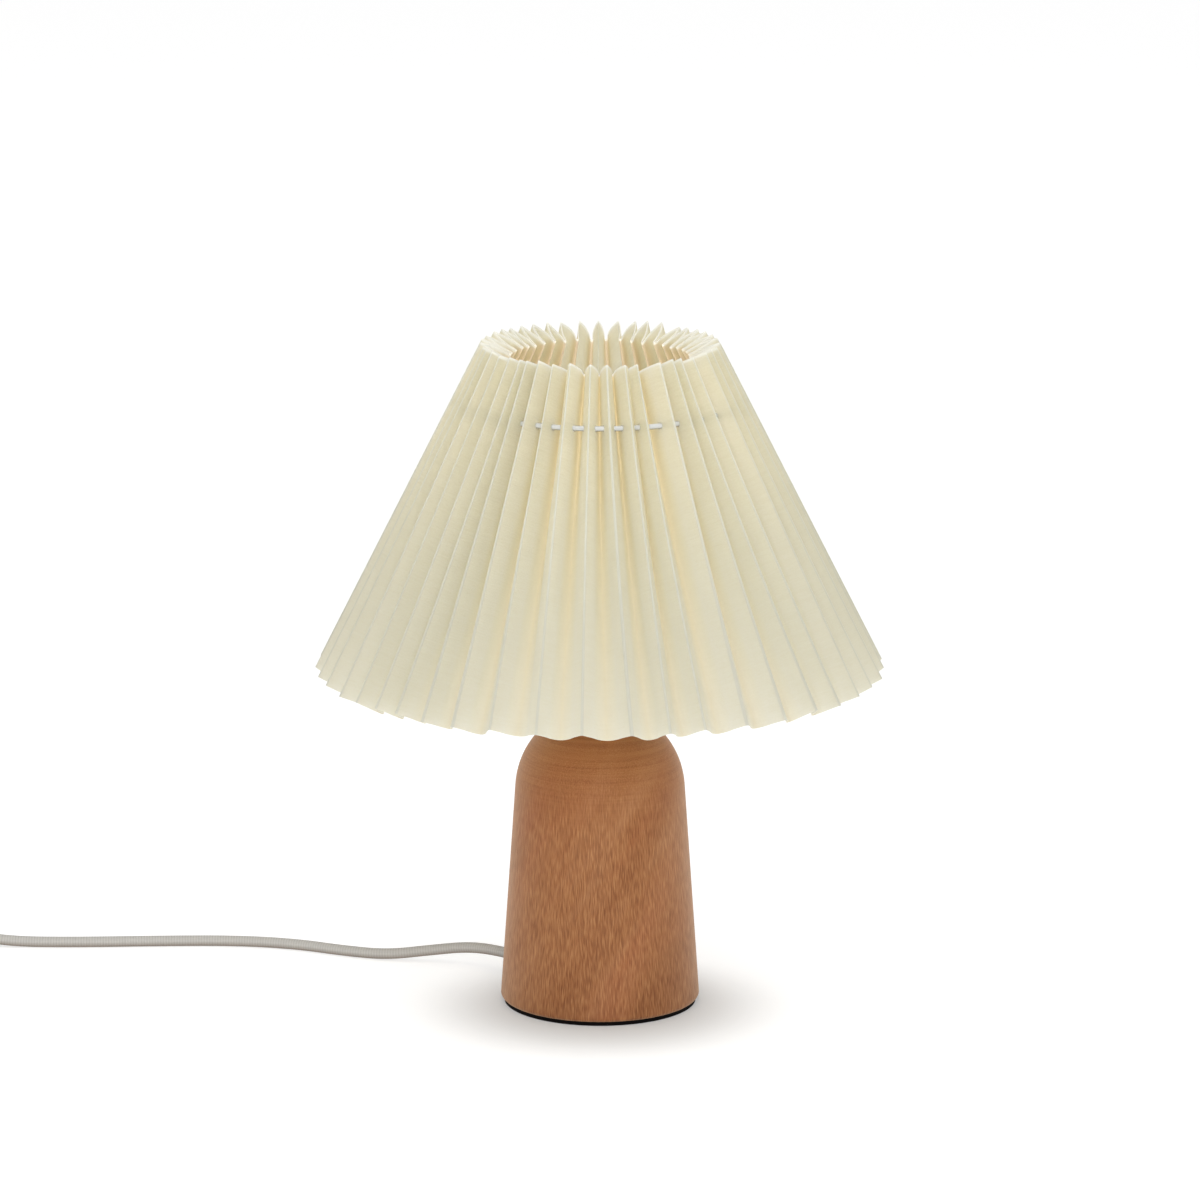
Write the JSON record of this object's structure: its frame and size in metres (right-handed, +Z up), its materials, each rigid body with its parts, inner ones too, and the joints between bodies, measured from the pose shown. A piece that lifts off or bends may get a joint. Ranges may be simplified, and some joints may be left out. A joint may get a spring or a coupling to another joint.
{
  "type": "table lamp",
  "caption": "Table lamp with a turned wooden bullet-shaped base, a pleated cone shade on a wire carrier, a screw-in bulb and a textile cord with an inline switch and a flat plug.",
  "frame": {"origin": "on the table, under the middle of the base", "axes": "+Z up along the lamp's axis; the picture looks along +Y with +X to the right"},
  "size_m": [0.6637, 0.2996, 0.3566],
  "materials": {
    "wood": "matte oiled",
    "pad": "matte",
    "steel": "zinc plated",
    "brass": "plain",
    "holder_white": "satin",
    "core_ceramic": "unglazed",
    "shade_fabric": "fibrous, translucent",
    "wire_white": "white powder coat",
    "bulb_glass": "clear",
    "bulb_cap": "plain",
    "bulb_insulator": "black",
    "filament": "coated",
    "cord_fabric": "braided textile",
    "wire_brown": "plain",
    "wire_blue": "plain",
    "switch_white": "plain",
    "plug_white": "satin",
    "pin_nickel": "nickel plated",
    "tie_grey": "woven strap"
  },
  "bodies": {
    "base": {"wood_base": "wood", "base_pad": "pad", "threaded_tube": "steel", "tube_washer": "steel", "tube_nut": "steel", "seat_washer": "steel", "cord_bush": "holder_white", "cord_stop": "holder_white", "inner_cord": "cord_fabric", "conductor_1": "wire_brown", "conductor_2": "wire_blue", "holder_cap": "holder_white", "holder_shell": "holder_white", "holder_core": "core_ceramic", "holder_terminal_1": "brass", "holder_terminal_2": "brass", "screw_contact": "brass", "centre_contact": "brass", "cord_lead": "cord_fabric", "cord_coil": "cord_fabric", "coil_tie": "tie_grey", "switch_base": "switch_white", "switch_cover": "switch_white", "switch_screw_1": "steel", "switch_screw_2": "steel", "switch_terminal_1": "brass", "switch_terminal_2": "brass", "plug_body": "plug_white", "plug_pin_1": "pin_nickel", "plug_pin_2": "pin_nickel", "plug_sleeve_1": "plug_white", "plug_sleeve_2": "plug_white"},
    "shade": {"pleated_shade": "shade_fabric", "shade_wire_ring": "wire_white", "carrier_collar": "wire_white", "carrier_leg_1": "wire_white", "carrier_leg_2": "wire_white", "carrier_leg_3": "wire_white"},
    "shade_ring": {"shade_ring": "holder_white"},
    "bulb": {"bulb_glass": "bulb_glass", "bulb_cap": "bulb_cap", "bulb_insulator": "bulb_insulator", "bulb_contact": "steel", "bulb_stem": "bulb_glass", "bulb_filament_1": "filament", "bulb_filament_2": "filament", "bulb_filament_3": "filament", "bulb_filament_4": "filament"},
    "switch_rocker": {"switch_rocker": "switch_white"}
  },
  "joints": [
    {"name": "shade_lift", "type": "slide", "parent": "base", "child": "shade", "axis": [0, 0, 1], "range_m": [0, 0.12]},
    {"name": "shade_ring_turn", "type": "hinge", "parent": "shade", "child": "shade_ring", "pos_m": [0, 0, 0.1903], "axis": [0, 0, 1], "range_deg": [0, 1080]},
    {"name": "bulb_lift", "type": "slide", "parent": "base", "child": "bulb", "axis": [0, 0, 1], "range_m": [0, 0.2]},
    {"name": "switch_rocker_tilt", "type": "hinge", "parent": "base", "child": "switch_rocker", "pos_m": [-0.399, 0.1, 0.0116], "axis": [0, 1, 0], "range_deg": [0, 16]}
  ]
}
